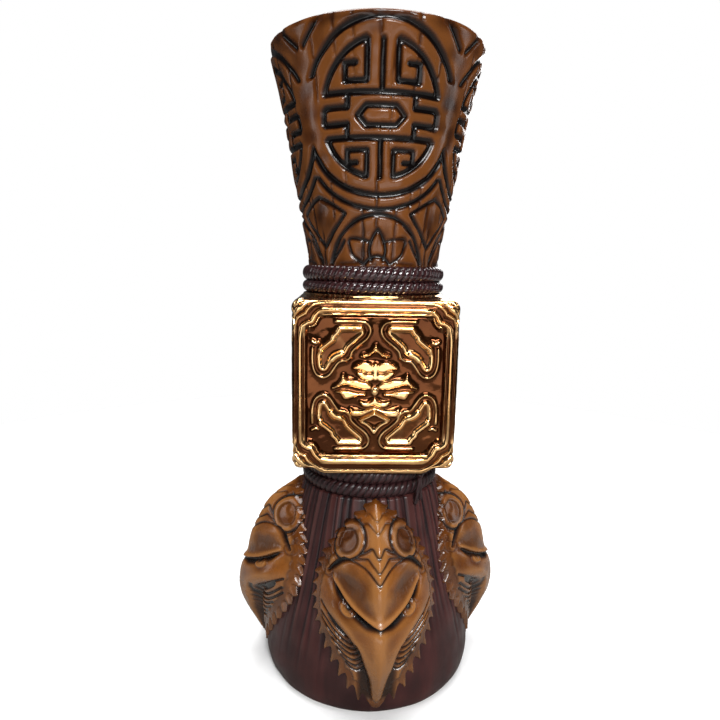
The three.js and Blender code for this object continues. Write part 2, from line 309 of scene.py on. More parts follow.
class Wiring:
    """Short calls that add nodes to one material."""

    def __init__(self, tree):
        self.tree = tree
        self.place = self.add("ShaderNodeTexCoord").outputs["Object"]

    def add(self, kind, **settings):
        node = self.tree.nodes.new(kind)
        for key, value in settings.items():
            setattr(node, key, value)
        return node

    def link(self, value, socket):
        if isinstance(value, bpy.types.NodeSocket):
            self.tree.links.new(value, socket)
        else:
            socket.default_value = value

    def mark(self, name):
        return self.add("ShaderNodeAttribute", attribute_name=name).outputs["Fac"]

    def noise(self, scale, detail=4.0, roughness=0.55, stretch=(1, 1, 1)):
        mapping = self.add("ShaderNodeMapping")
        mapping.inputs["Scale"].default_value = stretch
        self.link(self.place, mapping.inputs["Vector"])
        noise = self.add("ShaderNodeTexNoise")
        noise.inputs["Scale"].default_value = scale
        noise.inputs["Detail"].default_value = detail
        noise.inputs["Roughness"].default_value = roughness
        self.link(mapping.outputs["Vector"], noise.inputs["Vector"])
        return noise.outputs["Fac"]

    def spread(self, value, low, high, to_low=0.0, to_high=1.0):
        node = self.add("ShaderNodeMapRange", interpolation_type="SMOOTHSTEP")
        for socket, number in zip(("From Min", "From Max", "To Min", "To Max"), (low, high, to_low, to_high)):
            node.inputs[socket].default_value = number
        self.link(value, node.inputs["Value"])
        return node.outputs["Result"]

    def mix(self, factor, first, second):
        node = self.add("ShaderNodeMix", data_type="RGBA")
        self.link(factor, node.inputs["Factor"])
        self.link(first, node.inputs["A"])
        self.link(second, node.inputs["B"])
        return node.outputs["Result"]

    def math(self, operation, first, second):
        node = self.add("ShaderNodeMath", operation=operation)
        self.link(first, node.inputs[0])
        self.link(second, node.inputs[1])
        return node.outputs["Value"]

    def bump(self, height, strength, distance):
        node = self.add("ShaderNodeBump")
        node.inputs["Strength"].default_value = strength
        node.inputs["Distance"].default_value = distance
        self.link(height, node.inputs["Height"])
        return node.outputs["Normal"]


def glaze(
    name, deep, bright, shade_and_dark_marks, edge, film=(0.2, 0.2, 0.2), rough=(0.24, 0.36), edge_strength=0.5,
    grain=(1, 1, 0.12), coat=0.25,
):
    """Coloured glaze: clouded between two colours, darkened in the recesses with painted shade, thin and pale on the
    edges.
    """
    material, tree, shader = node_tree(name)
    wiring = Wiring(tree)
    cloud = wiring.spread(wiring.noise(55, 5, 0.55, grain), 0.36, 0.66)
    colour = wiring.mix(cloud, (*deep, 1), (*bright, 1))
    streak = wiring.spread(wiring.noise(420, 3, 0.6, grain), 0.35, 0.75, 0.0, 0.5)
    colour = wiring.mix(streak, colour, (*deep, 1))
    filmed = wiring.math("MULTIPLY", wiring.mark("film"), wiring.spread(wiring.noise(120, 4), 0.3, 0.65, 0.5, 0.95))
    colour = wiring.mix(filmed, colour, (*film, 1))
    worn = wiring.math("MULTIPLY", wiring.mark("raised"), edge_strength)
    colour = wiring.mix(worn, colour, (*edge, 1))
    # Painted shade: the cavity mark mixes the colour towards near-black in recesses and grooves and under the masks'
    # brows; on the masks it also carries the dark pupils and the darkened ovals.
    in_recess = wiring.math("MULTIPLY", wiring.mark("cavity"), wiring.spread(wiring.noise(90), 0.2, 0.5, 0.85, 1.0))
    colour = wiring.mix(in_recess, colour, (*shade_and_dark_marks, 1))
    wiring.link(colour, shader.inputs["Base Color"])
    wiring.link(wiring.spread(wiring.noise(150, 3), 0.3, 0.7, *rough), shader.inputs["Roughness"])
    fine = wiring.math("ADD", wiring.noise(260, 2, 0.5, grain), wiring.math("MULTIPLY", wiring.noise(900, 2), 0.3))
    wiring.link(wiring.bump(fine, 0.3, 0.0002), shader.inputs["Normal"])
    shader.inputs["Coat Weight"].default_value = coat
    shader.inputs["Coat Roughness"].default_value = 0.08
    shader.inputs["IOR"].default_value = 1.38
    return material


def lustre(name):
    """Fired gold over brown glaze: bright metal on the high parts, dark copper-brown on the low ground, with painted
    shade in the recesses from the cavity mark.
    """
    material, tree, shader = node_tree(name)
    wiring = Wiring(tree)
    tone = wiring.spread(wiring.noise(60, 4), 0.35, 0.65)
    gold = wiring.mix(tone, (0.80, 0.43, 0.16, 1), (0.98, 0.62, 0.29, 1))
    copper_tone = wiring.spread(wiring.noise(30, 3), 0.25, 0.8)
    copper_and_shade = wiring.mix(copper_tone, (0.055, 0.016, 0.006, 1), (0.135, 0.046, 0.014, 1))
    # Painted shade and ground colour: the cavity mark turns the low ground and the recesses towards dark copper-brown.
    in_recess = wiring.mark("cavity")
    wiring.link(wiring.mix(in_recess, gold, copper_and_shade), shader.inputs["Base Color"])
    wiring.link(wiring.spread(in_recess, 0.3, 1.0, 1.0, 0.92), shader.inputs["Metallic"])
    wiring.link(wiring.spread(wiring.noise(220, 3), 0.3, 0.7, 0.09, 0.17), shader.inputs["Roughness"])
    fine = wiring.math("ADD", wiring.noise(320, 3), wiring.math("MULTIPLY", wiring.noise(1400, 2), 0.3))
    wiring.link(wiring.bump(fine, 0.3, 0.00018), shader.inputs["Normal"])
    return material


cup_glaze = glaze(
    "cup_glaze", deep=(0.021, 0.0055, 0.0012), bright=(0.092, 0.0245, 0.0036), shade_and_dark_marks=(0.002, 0.001, 0.001),
    edge=(0.22, 0.075, 0.018), edge_strength=0.6, rough=(0.17, 0.28), coat=0.0,
)
mask_glaze = glaze(
    "mask_glaze", deep=(0.085, 0.022, 0.003), bright=(0.205, 0.062, 0.008), film=(0.090, 0.043, 0.022),
    shade_and_dark_marks=(0.003, 0.002, 0.002), edge=(0.33, 0.140, 0.040), edge_strength=0.75, rough=(0.18, 0.32), grain=(1, 1, 1),
    coat=0.2,
)
rope_glaze = glaze(
    "rope_glaze", deep=(0.022, 0.006, 0.007), bright=(0.042, 0.012, 0.013),
    shade_and_dark_marks=(0.002, 0.001, 0.001), edge=(0.09, 0.04, 0.04), rough=(0.16, 0.26), grain=(1, 1, 1), coat=0.9,
)
dry_rope_glaze = glaze(
    "dry_rope_glaze", deep=(0.020, 0.007, 0.008), bright=(0.036, 0.012, 0.013),
    shade_and_dark_marks=(0.002, 0.001, 0.001), edge=(0.05, 0.02, 0.02), rough=(0.30, 0.42), grain=(1, 1, 1), coat=0.0,
)
skirt_glaze = glaze(
    "skirt_glaze", deep=(0.022, 0.006, 0.006), bright=(0.056, 0.013, 0.012),
    shade_and_dark_marks=(0.004, 0.002, 0.003), edge=(0.11, 0.040, 0.034), rough=(0.32, 0.46), coat=0.0,
)
gold_lustre = lustre("gold_lustre")
inner_glaze = glaze(
    "inner_glaze", deep=(0.030, 0.012, 0.010), bright=(0.055, 0.022, 0.016),
    shade_and_dark_marks=(0.004, 0.003, 0.003), edge=(0.055, 0.022, 0.016), rough=(0.15, 0.25), grain=(1, 1, 1),
)
bare_clay = glaze(
    "bare_clay", deep=(0.50, 0.42, 0.33), bright=(0.62, 0.54, 0.44),
    shade_and_dark_marks=(0.30, 0.22, 0.16), edge=(0.66, 0.58, 0.48), rough=(0.7, 0.85), grain=(1, 1, 1), coat=0.0,
)


# ---- Cup ----
cup_radius = smooth_rows(CUP_PROFILE)
ROUNDEL_Z = 221
# Vertical cracks in the wood grain: [degrees from the front, low end, high end, half-width]
CRACKS = [
    [-37, 225, 244, 0.35], [-24, 234, 250, 0.3], [-14.5, 226, 250, 0.3], [-22, 195, 211, 0.35],
    [-33, 186, 201, 0.3], [-11, 168, 190, 0.45], [-1.5, 183, 200, 0.55], [-1.5, 241, 251, 0.4],
    [5.5, 203, 241, 0.35], [17.5, 225, 251, 0.45], [12.5, 168, 190, 0.45], [31, 226, 240, 0.35],
    [30, 188, 201, 0.3], [38, 176, 193, 0.3], [22, 189, 197, 0.35], [44, 168, 182, 0.25],
]


def roundel_lines():
    """Abstract fret roundel for one half of a bay: (points, half-width) in millimetres around its middle."""
    reach = 21.3
    lines = [
        ([(0, 5.4), (reach - 0.8, 5.4)], 0.85),
        ([(0, -8.6), (reach - 2.2, -8.6)], 0.85),
        ([(0, 5.4), (0, 20.3)], 0.8),
        ([(0, -8.6), (0, -21.2)], 0.8),
        ([(5.3, 20.4), (5.3, 8.8), (12.9, 8.8), (12.9, 14.0), (9.2, 14.0)], 0.8),
        ([(4.7, -20.8), (4.7, -12.4), (11.8, -12.4), (11.8, -16.4), (8.4, -16.4)], 0.75),
        ([(11.9, 5.4), (11.9, 1.0), (20.3, 1.0), (21.0, 0.2), (21.0, -3.4), (20.3, -4.2), (11.9, -4.2), (11.9, -8.6)], 0.85),
        ([(0, 1.5), (5.2, 1.5), (8.1, -1.6), (5.2, -4.7), (0, -4.7)], 0.85),
    ]
    return lines


def cup_carving(angle, z):
    """Depth of the carved lines on the outside of the cup, in millimetres."""
    bay = (angle + math.pi / 4) % (math.pi / 2) - math.pi / 4
    radius = cup_radius(z)
    a = np.abs(bay) * radius
    post = (math.pi / 4 - np.abs(bay)) * radius
    y = z - ROUNDEL_Z
    depth = np.zeros(angle.shape)

    def cut(distance, half_width, amount, soft=0.65, where=1.0):
        np.maximum(depth, amount * groove(distance, half_width, soft) * where, out=depth)

    disc = np.hypot(a, y)
    ring = np.hypot(a / 1.07, y)
    on_disc = rise(np.abs(a), 5.0, 5.6) * rise(np.abs(y + 1.6), 6.6, 7.2)
    cut(np.abs(disc - 21.4), 1.0, 1.2, where=on_disc)
    ring_ends = 1 - rise(y, -10.5, -9.5) + rise(y, 10.5, 11.5)
    cut(np.abs(ring - 27.0), 1.0, 1.15, where=ring_ends)
    cut(np.abs(disc - 31.7), 0.8, 1.0, where=1 - rise(y, -20.5, -19.5))
    for points, half_width in roundel_lines():
        cut(line_distance(a, y, points), half_width + 0.12, 1.2)

    arch = np.hypot(a / 18.2, (z - 167.0) / 20.5)
    cut(np.abs(arch - 1) * 19, 0.75, 1.0)
    petal = bend_through([(-0.1, 182.6), (1.6, 180.0), (2.8, 176.6), (2.9, 173.8), (2.2, 171.5)])
    cut(line_distance(a, z, petal), 0.6, 0.9, 0.4)
    cut(np.abs(np.hypot(a, z - 168.0) - 4.9), 0.65, 0.9, 0.4)
    side_petal = bend_through([(2.9, 178.0), (6.4, 178.9), (10.6, 178.9), (10.2, 175.5), (8.6, 172.6), (5.2, 170.2)])
    cut(line_distance(a, z, side_petal), 0.55, 0.85, 0.4)
    cut(line_distance(a, z, [(5.4, 171.5), (8.0, 170.6), (14.0, 169.8)]), 0.4, 0.5, 0.3)

    diamond = [(0, 193.6), (4.5, 191.6), (10.8, 187.9), (5.6, 182.4), (0, 176.2)]
    cut(line_distance(post, z, bend_through(diamond[:3])), 0.65, 0.95, 0.4)
    cut(line_distance(post, z, diamond[2:]), 0.65, 0.95, 0.4)
    cut(line_distance(post, z, [(1.7, 242.2), (10.6, 249.8)]), 0.8, 1.0)
    cut(line_distance(post, z, [(9.0, 178.5), (3.0, 170.5)]), 0.6, 0.85, 0.4)
    return depth


def crack_depth(angle, z):
    """Thin wandering cracks down the cup, the same set in each bay, shifted a little from bay to bay."""
    depth = np.zeros(angle.shape)
    for quarter in range(len(SIDES)):
        for degrees, low, high, half_width in CRACKS:
            middle = math.radians(degrees + 90 * quarter + (3.0 * math.sin(degrees + quarter) if quarter else 0))
            wander = 0.16 * np.sin(z * 0.35 + degrees) + 0.08 * np.sin(z * 1.3 + 2 * degrees)
            turn = (angle - middle + math.pi) % TWO_PI - math.pi
            across = np.abs(turn * cup_radius(z) - wander)
            shift = 2.0 * math.sin(3.0 * degrees + 2.0 * quarter) if quarter else 0
            ends = rise(z, low + shift - 1.5, low + shift + 1.5) * (1 - rise(z, high + shift - 1.5, high + shift + 1.5))
            np.maximum(depth, 0.55 * groove(across, half_width, 0.28) * ends, out=depth)
    return depth


def build_cup():
    columns = 544
    carved_rows = 170
    angle = np.arange(columns) * TWO_PI / columns
    outer_z = np.linspace(CUP_LOW, HEIGHT - LIP_RADIUS, carved_rows)
    lip_turn = np.linspace(0, math.pi, 9)[1:]
    inner_z = np.array([240, 230, 218, 207, 196, 187, 181, 176, 172])
    inner_r = np.append(cup_radius(inner_z[:7]) - WALL, [NECK_BORE + 1.2, NECK_BORE])
    fullness = 0.6
    lip_across = np.sign(np.cos(lip_turn)) * np.abs(np.cos(lip_turn)) ** fullness
    lip_r = RIM_RADIUS - LIP_RADIUS + LIP_RADIUS * lip_across
    lip_z = HEIGHT - LIP_RADIUS + LIP_RADIUS * np.abs(np.sin(lip_turn)) ** fullness
    radius_rows = np.concatenate([
        [NECK_BORE, NECK_RADIUS, NECK_RADIUS], cup_radius(outer_z), lip_r, inner_r,
    ])
    z_rows = np.concatenate([[NECK_FOOT, NECK_FOOT, CUP_LOW], outer_z, lip_z, inner_z])
    a, z = np.meshgrid(angle, z_rows)
    radius = np.repeat(radius_rows[:, None], columns, axis=1)

    outside = slice(3, 3 + carved_rows + 3)
    lines = cup_carving(a[outside], z[outside])
    depth = np.maximum(lines, crack_depth(a[outside], z[outside]))
    fade = rise(z[outside], CUP_LOW, CUP_LOW + 0.8)
    fade[carved_rows:] *= np.array([0.8, 0.5, 0.2])[:, None]
    depth = soften(depth * fade, (0.7, 0.8), wrap=True)
    uneven = 0.14 * waves(a[outside] * 34, z[outside], 9, 3) - 0.1
    height = np.zeros(a.shape)
    height[outside] = -depth + np.minimum(uneven, 0.0) * fade
    radius = radius + height
    marks = relief_marks(height, (6, 7), wrap=True)
    # Painted shade: the deep middle of each carved line is marked for the near-black recess colour, on top of the
    # softer recess mark.
    in_lines = np.zeros(a.shape)
    in_lines[outside] = rise(depth, 0.3, 0.8)
    marks["cavity"] = np.maximum(in_lines, marks["cavity"] * 0.5)
    rows = len(z_rows)
    faces = grid_faces(rows, columns, wrap_rows=True)
    row_of_face = np.repeat(np.arange(rows), columns)
    lip_end = 3 + carved_rows + 6
    inner = (row_of_face >= lip_end) | (row_of_face < 1)
    make_mesh(
        "cup_shell_carved", around(radius, a, z), faces, marks, [cup_glaze, inner_glaze],
        ["cup_shell"], inner,
    )


# ---- Rope turns ----
def build_rope(node, strands, seed):
    """One closed turn of three-strand rope, with the strands as raised diagonal ridges."""
    low, high = node_box(node)
    columns, sides = 840, 30
    middle_z, half_height = (low[2] + high[2]) / 2, (high[2] - low[2]) / 2
    inner = NECK_RADIUS + 0.05
    middle_r, half_depth = (inner + ROPE_RADIUS) / 2, (ROPE_RADIUS - inner) / 2
    angle, turn = np.meshgrid(np.arange(columns) * TWO_PI / columns, np.arange(sides) * TWO_PI / sides)
    lobes = np.abs(np.sin(1.5 * turn - strands * angle / 2))
    shape = 0.78 + 0.22 * np.sqrt(lobes)
    shape = shape * (1 + 0.015 * waves(angle * middle_r, turn * 2, 12, seed))
    shape = np.minimum(shape, 1.0)
    radius = middle_r + half_depth * shape * np.cos(turn)
    z = middle_z + (half_height + 0.3) * shape * np.sin(turn)
    # Painted shade: the valleys between the strands are marked for the darker recess colour.
    marks = {
        "cavity": 1 - rise(lobes, 0.1, 0.45),
        "raised": rise(lobes, 0.8, 1.0) * 0.3,
    }
    faces = grid_faces(sides, columns, wrap_rows=True)
    material = dry_rope_glaze if node.startswith("lower") else rope_glaze
    make_mesh(node + "_twisted", around(radius, angle, z), faces, marks, [material], [node])


def build_rope_tail():
    """Knot and two loose rope ends at the front right."""
    low, high = node_box("lower_rope_tail")
    middle = (low + high) / 2
    heading = math.atan2(middle[0], -middle[1])
    out = math.hypot(middle[0], middle[1])
    points, faces, cavity = [], [], []
    count = 0
    columns = 20
    for spread, length in ((-0.055, 1.0), (0.035, 0.88)):
        steps = 60
        along = np.linspace(0, 1, steps)
        z_path = high[2] - 0.6 - along * length * (high[2] - low[2] - 1.4)
        angle_path = heading + 0.012 + spread * along**1.3
        r_path = out + 0.35 - 0.5 * along
        centre = around(r_path, angle_path, z_path)
        tangent = np.gradient(centre, axis=0)
        tangent /= np.linalg.norm(tangent, axis=1)[:, None]
        outward = around(np.ones(steps), angle_path, np.zeros(steps))
        side = np.cross(tangent, outward)
        turn = np.arange(columns) * TWO_PI / columns
        lobes = np.abs(np.sin(1.5 * turn[None, :] + 9 * along[:, None] * length))
        thickness = (0.80 + 0.18 * lobes) * np.where(along > 0.96, (1 - along) / 0.04, 1)[:, None] * 0.86
        thickness = np.maximum(thickness, 0.02) * (1 + 0.25 * np.exp(-((along - 0.08) / 0.07) ** 2))[:, None]
        ring = (
            centre[:, None] + thickness[..., None] * (
                np.cos(turn)[None, :, None] * side[:, None] + np.sin(turn)[None, :, None] * outward[:, None]
            )
        )
        points.append(ring.reshape(-1, 3))
        faces.append(grid_faces(steps, columns)[:, ::-1] + count)
        # Painted shade in the valleys between the strands.
        cavity.append((1 - rise(lobes, 0.1, 0.5)).ravel() * 0.9)
        count += steps * columns
    knot_turn, knot_rise = np.meshgrid(np.arange(28) * TWO_PI / 28, np.linspace(-math.pi / 2, math.pi / 2, 15))
    swirl = 1.0 + 0.1 * np.sin(3 * knot_turn + 4 * knot_rise)
    knot = np.stack([
        1.45 * swirl * np.cos(knot_rise) * np.cos(knot_turn),
        1.3 * swirl * np.cos(knot_rise) * np.sin(knot_turn),
        1.4 * np.sin(knot_rise),
    ], axis=-1)
    knot += around(out + 0.55, heading, high[2] - 1.5)
    points.append(knot.reshape(-1, 3))
    faces.append(grid_faces(15, 28) + count)
    # Painted shade in the knot's swirl grooves.
    cavity.append((0.5 - 0.5 * np.sin(3 * knot_turn + 4 * knot_rise)).ravel() * 0.5)
    marks = {"cavity": np.concatenate(cavity), "raised": np.zeros(sum(map(len, cavity)))}
    make_mesh(
        "lower_rope_tail_twisted", np.concatenate(points), np.concatenate(faces), marks, [dry_rope_glaze],
        ["lower_rope_tail"],
    )


# ---- Block ----
CORNER_RADIUS = 3.2
# Middle line of the frame's bright band, a quarter of it: straight sides with a notched corner
BAND_CORNER = [
    (27.8, 18.6), (27.5, 21.0), (26.5, 22.7), (25.0, 23.6), (23.5, 24.0),
    (23.1, 24.7), (22.3, 26.3), (21.0, 27.6), (19.0, 28.3), (16.4, 28.4),
]
BAND_TO_POCKET = 2.4


def band_outline():
    """The bright band's middle line all round the face."""
    quarter = np.array(BAND_CORNER)
    return np.concatenate([quarter, (quarter * [-1, 1])[::-1], -quarter, (quarter * [1, -1])[::-1]])


def frame_profile(out):
    """Height of the frame mouldings by distance out from the bright band, in millimetres."""
    height = 1.05 * np.exp(-(out / 0.85) ** 4)
    height = height + 0.75 * np.exp(-((out + 1.65) / 0.38) ** 2)
    height = height + 0.15 * np.exp(-((out - 1.95) / 0.6) ** 4)
    height = height + 0.9 * rise(out, 2.6, 3.1) * (1 - rise(out, 3.6, 4.3))
    return height


def corner_knob(out):
    """Two rounded ridges across the corner, outside the frame."""
    first = 1.05 * np.exp(-((out - 6.0) / 1.25) ** 4)
    second = 0.9 * np.exp(-((out - 8.9) / 1.2) ** 4)
    return first + second


def build_block():
    """Casing: frame mouldings on four faces, pockets for the panels, top and bottom plates and the hollow."""
    edge_zone, edge_steps, middle_steps = 10.5, 46, 22
    dense = np.linspace(-BLOCK_HALF, -BLOCK_HALF + edge_zone, edge_steps, endpoint=False)
    middle = np.linspace(-BLOCK_HALF + edge_zone, BLOCK_HALF - edge_zone, middle_steps, endpoint=False)
    across = np.concatenate([dense, middle, -dense[::-1]])[:-1]
    dense_up = np.linspace(-BLOCK_HALF_HEIGHT, -BLOCK_HALF_HEIGHT + edge_zone, edge_steps, endpoint=False)
    middle_up = np.linspace(-BLOCK_HALF_HEIGHT + edge_zone, BLOCK_HALF_HEIGHT - edge_zone, middle_steps, endpoint=False)
    up = np.concatenate([dense_up, middle_up, -dense_up[::-1]])
    columns = len(across) * 4
    quarter = np.repeat(np.arange(4), len(across))
    x_face = np.tile(across, 4)
    turn = quarter * math.pi / 2
    square = np.stack([
        x_face * np.cos(turn) + BLOCK_HALF * np.sin(turn),
        x_face * np.sin(turn) - BLOCK_HALF * np.cos(turn),
    ], axis=-1)
    unit = square / np.linalg.norm(square, axis=1)[:, None]

    xg, zg = np.meshgrid(across, up)
    out = outline_distance(xg, zg, band_outline())
    lift = frame_profile(out) + corner_knob(out) - 1.05
    pocket = rise(-out, BAND_TO_POCKET - 0.3, BAND_TO_POCKET + 0.2)
    lift = lift * (1 - pocket) - POCKET_DEPTH * pocket
    lift = soften(lift, (0.6, 0.6))
    beads = 0.16 * np.cos(TWO_PI * (xg + zg) / 1.1) * np.exp(-((out + 1.65) / 0.5) ** 2)
    lift = lift + beads + 0.05 * waves(xg, zg, 5, 11)
    lift = np.minimum(lift, 0.0)
    lift_all = np.tile(lift, (1, 4))

    points, marks_c, marks_r = [], [], []
    core = np.array([BLOCK_HALF - CORNER_RADIUS] * 2 + [BLOCK_HALF_HEIGHT - CORNER_RADIUS])

    def rounded(row_xy, z_offset, height):
        """Cube-surface points pulled onto the rounded cube, then lifted along its normal."""
        q = np.concatenate([row_xy, np.full((columns, 1), z_offset)], axis=1)
        c = np.clip(q, -core, core)
        v = q - c
        v /= np.linalg.norm(v, axis=1)[:, None]
        placed = c + v * (CORNER_RADIUS + height[:, None])
        along_face = np.sort(np.abs(placed[:, :2]), axis=1)
        hangs = (1 - rise(along_face[:, 0], 18.5, 23.5)) * rise(along_face[:, 1], 28.6, 29.6)
        placed[:, 2] -= LIP_DROP * hangs * rise(-placed[:, 2], BLOCK_HALF_HEIGHT - 5.5, BLOCK_HALF_HEIGHT)
        return placed + [0, 0, BLOCK_MIDDLE]

    zero = np.zeros(columns)
    plate_steps = np.array([0.0, 0.12, 0.25, 0.4, 0.55, 0.68, 0.78, 0.84, 0.9, 0.95])
    for radius, z in ((NECK_BORE, COLLAR_LOW), (COLLAR_RADIUS - 0.5, COLLAR_LOW), (COLLAR_RADIUS, COLLAR_LOW + 0.3)):
        points.append(np.concatenate([unit * radius, np.full((columns, 1), z)], axis=1))
        marks_c.append(np.full(columns, 0.5))
        marks_r.append(zero)
    for t in plate_steps:
        ring = unit * COLLAR_RADIUS * (1 - t) + square * t
        points.append(rounded(ring, -BLOCK_HALF_HEIGHT, zero))
        marks_c.append(np.full(columns, 0.25))
        marks_r.append(zero)
    face_marks = relief_marks(lift, (5, 5), cavity_scale=0.55)
    # The low parts and the uprights take the dark copper-brown ground; the relief's recess mark adds painted shade in
    # the recesses.
    deep = np.maximum(face_marks["cavity"], rise(-lift, 0.35, 0.75))
    on_upright = rise(np.abs(xg), 24.5, 26.5) * (1 - rise(np.abs(zg), 17.5, 23.5))
    deep = np.maximum(deep, on_upright * (1 - 0.55 * rise(lift, -0.25, -0.05)))
    for row, z_offset in enumerate(up):
        points.append(rounded(square, z_offset, lift_all[row]))
        marks_c.append(np.tile(deep[row], 4))
        marks_r.append(np.tile(face_marks["raised"][row], 4))
    pits = 0.5 * rise(waves(square[:, 0], square[:, 1], 6, 21), -0.4, 0.6)
    for t in plate_steps[::-1][:-1]:
        ring = unit * COLLAR_RADIUS * (1 - t) + square * t
        crown = 0.5 * rise(np.full(columns, 1 - t), 0.1, 1.0) - 0.45 * pits * (t > 0.2) * (t < 0.8)
        flat = rounded(ring, BLOCK_HALF_HEIGHT, zero)
        flat[:, 2] += crown
        points.append(flat)
        marks_c.append(0.6 * pits * (t < 0.8))
        marks_r.append(zero)
    cavity_half = BLOCK_HALF - POCKET_DEPTH - WALL
    inside_square = square * cavity_half / BLOCK_HALF
    closing = [
        (unit * (COLLAR_RADIUS + 0.3), BLOCK_HIGH + 0.6), (unit * COLLAR_RADIUS, BLOCK_HIGH + 1.1),
        (unit * (COLLAR_RADIUS - 0.8), COLLAR_HIGH), (unit * NECK_BORE, COLLAR_HIGH), (unit * NECK_BORE, BLOCK_HIGH - WALL),
        (inside_square, BLOCK_HIGH - WALL), (inside_square, BLOCK_LOW + WALL), (unit * NECK_BORE, BLOCK_LOW + WALL),
    ]
    for ring, z in closing:
        points.append(np.concatenate([ring, np.full((columns, 1), z)], axis=1))
        marks_c.append(zero)
        marks_r.append(zero)
    rows = len(points)
    faces = grid_faces(rows, columns, wrap_rows=True)
    row_of_face = np.repeat(np.arange(rows), columns)
    inner = row_of_face >= rows - 6
    make_mesh(
        "block_shell_gilded", np.array(points).reshape(-1, 3), faces,
        {"cavity": np.array(marks_c), "raised": np.array(marks_r)},
        [gold_lustre, inner_glaze], ["block_shell"], inner,
    )


def bead(distance, half_width, amount):
    """Rounded ridge of a given height along a line."""
    return amount * np.sqrt(np.clip(1 - (distance / half_width) ** 2, 0, 1))


def plate(p, v, outline, amount, shoulder=0.8, swell=0.15):
    """Flat-topped form with rounded shoulders, a little fuller than its outline."""
    outward = outline_distance(p, v, bend_through(outline, closed=True, steps=4)) - swell
    inward = np.clip(-outward / shoulder, 0, 1)
    return amount * np.sqrt(1 - (1 - inward) ** 2)


def scroll_height(ax, az):
    """Cloud scroll in the corner of a panel, with its stepped ridge towards the corner."""
    stepped = [
        (5.4, 21.7), (13.4, 21.6), (14.3, 19.9), (15.5, 18.9), (15.9, 17.4), (17.3, 16.3), (18.5, 15.3), (20.2, 14.1),
        (20.2, 13.2),
    ]
    contour = bend_through([
        (14.8, 24.1), (6.0, 24.1), (3.0, 23.2), (2.0, 20.6), (3.4, 17.8), (6.2, 15.5), (8.6, 13.2), (9.3, 11.0),
        (11.0, 9.7), (13.4, 9.2), (15.0, 7.2), (17.0, 4.3), (19.4, 3.3), (22.0, 4.8), (23.2, 8.6), (23.2, 14.2),
    ])
    inner_contour = bend_through([
        (5.4, 21.3), (5.0, 19.9), (7.4, 17.6), (10.2, 15.0), (11.6, 12.6), (14.6, 11.4), (17.0, 8.8), (18.6, 6.4),
        (20.4, 7.2), (20.8, 11.4), (20.2, 13.2),
    ])
    body = np.concatenate([stepped, inner_contour[::-1]])
    inward = np.clip(-outline_distance(ax, az, body), 0, None)
    height = 0.5 * rise(inward, 0.0, 1.2)
    height = np.maximum(height, bead(line_distance(ax, az, stepped), 1.15, 1.85))
    height = np.maximum(height, bead(line_distance(ax, az, contour), 0.7, 0.9))
    height = np.maximum(height, bead(line_distance(ax, az, inner_contour), 0.95, 1.5))
    blob = bend_through([(12.6, 12.2), (14.8, 11.3), (16.2, 9.9)])
    height = np.maximum(height, bead(line_distance(ax, az, blob), 1.5, 1.9))
    small = bend_through([(20.9, 16.6), (22.0, 16.1), (23.4, 16.8)])
    return np.maximum(height, bead(line_distance(ax, az, small), 0.7, 1.1))


def quatrefoil_height(x, z):
    """Leaf ornament in the middle of a panel: stacked leaves up and down, a wing to each side."""
    p = np.abs(x)
    leaves = [
        ([(-1.0, 14.2), (0, 15.9), (1.0, 14.2), (2.6, 12.7), (5.7, 11.5), (4.6, 10.8), (2.6, 11.2), (0, 12.9), (-2.6, 11.2)], 1.9),
        ([(0.9, 8.0), (2.6, 9.1), (5.0, 9.2), (8.2, 7.4), (8.0, 6.6), (5.6, 6.3), (3.2, 5.4), (1.0, 5.6)], 2.1),
        ([(0.9, 4.5), (2.8, 4.6), (5.0, 5.4), (7.0, 5.5), (6.4, 4.2), (4.6, 2.9), (2.8, 2.2), (1.0, 2.4)], 2.1),
        ([(-0.8, 8.4), (0.8, 8.4), (0.9, 5.0), (0.7, 2.6), (-0.7, 2.6), (-0.9, 5.0)], 2.1),
        ([(16.2, -0.9), (14.0, 0.9), (12.6, 2.6), (12.0, 4.6), (10.8, 3.0), (9.4, 2.4), (7.0, 2.6), (4.8, 1.9), (2.4, 1.4),
          (1.2, 0.2), (1.6, -1.1), (4.6, -1.1), (8.2, -0.2), (11.4, 0.7), (13.8, -0.4)], 1.95),
        ([(15.0, -2.2), (12.8, -2.8), (11.4, -4.9), (9.0, -4.6), (6.0, -3.6), (3.6, -3.5), (3.4, -2.5), (6.4, -2.3),
          (9.4, -1.7), (12.4, -1.5)], 1.6),
        ([(-1.4, -5.4), (0, -4.2), (1.4, -5.4), (3.4, -6.0), (5.7, -5.5), (4.6, -7.4), (2.4, -7.8), (0, -7.0), (-2.4, -7.8)], 2.0),
        ([(-2.4, -8.6), (0, -7.9), (2.4, -8.6), (5.0, -9.1), (7.6, -9.0), (9.3, -8.2), (8.6, -11.1), (5.6, -11.4),
          (3.0, -10.2), (0, -9.0), (-3.0, -10.2)], 2.0),
        ([(-1.8, -10.6), (0, -9.5), (1.8, -10.6), (6.0, -12.6), (5.4, -13.3), (2.8, -12.5), (0, -11.2), (-2.8, -12.5)], 1.8),
    ]
    height = np.zeros(x.shape)
    for outline, amount in leaves:
        height = np.maximum(height, plate(p, z, outline, amount))
    lower_tip = bend_through([(4.8, -13.6), (3.0, -14.4), (1.4, -15.8), (0, -17.8)])
    height = np.maximum(height, bead(line_distance(p, z, lower_tip), 0.8, 1.3))
    bud = np.hypot(p, (z + 1.9) * 0.8)
    return np.maximum(height, 1.2 * np.sqrt(np.clip(1 - (bud / 1.6) ** 2, 0, 1)))


def panel_height(x, z):
    """Relief of a panel above its flat field, in millimetres."""
    return np.maximum(scroll_height(np.abs(x), np.abs(z)), np.maximum(quatrefoil_height(x, z), 0))


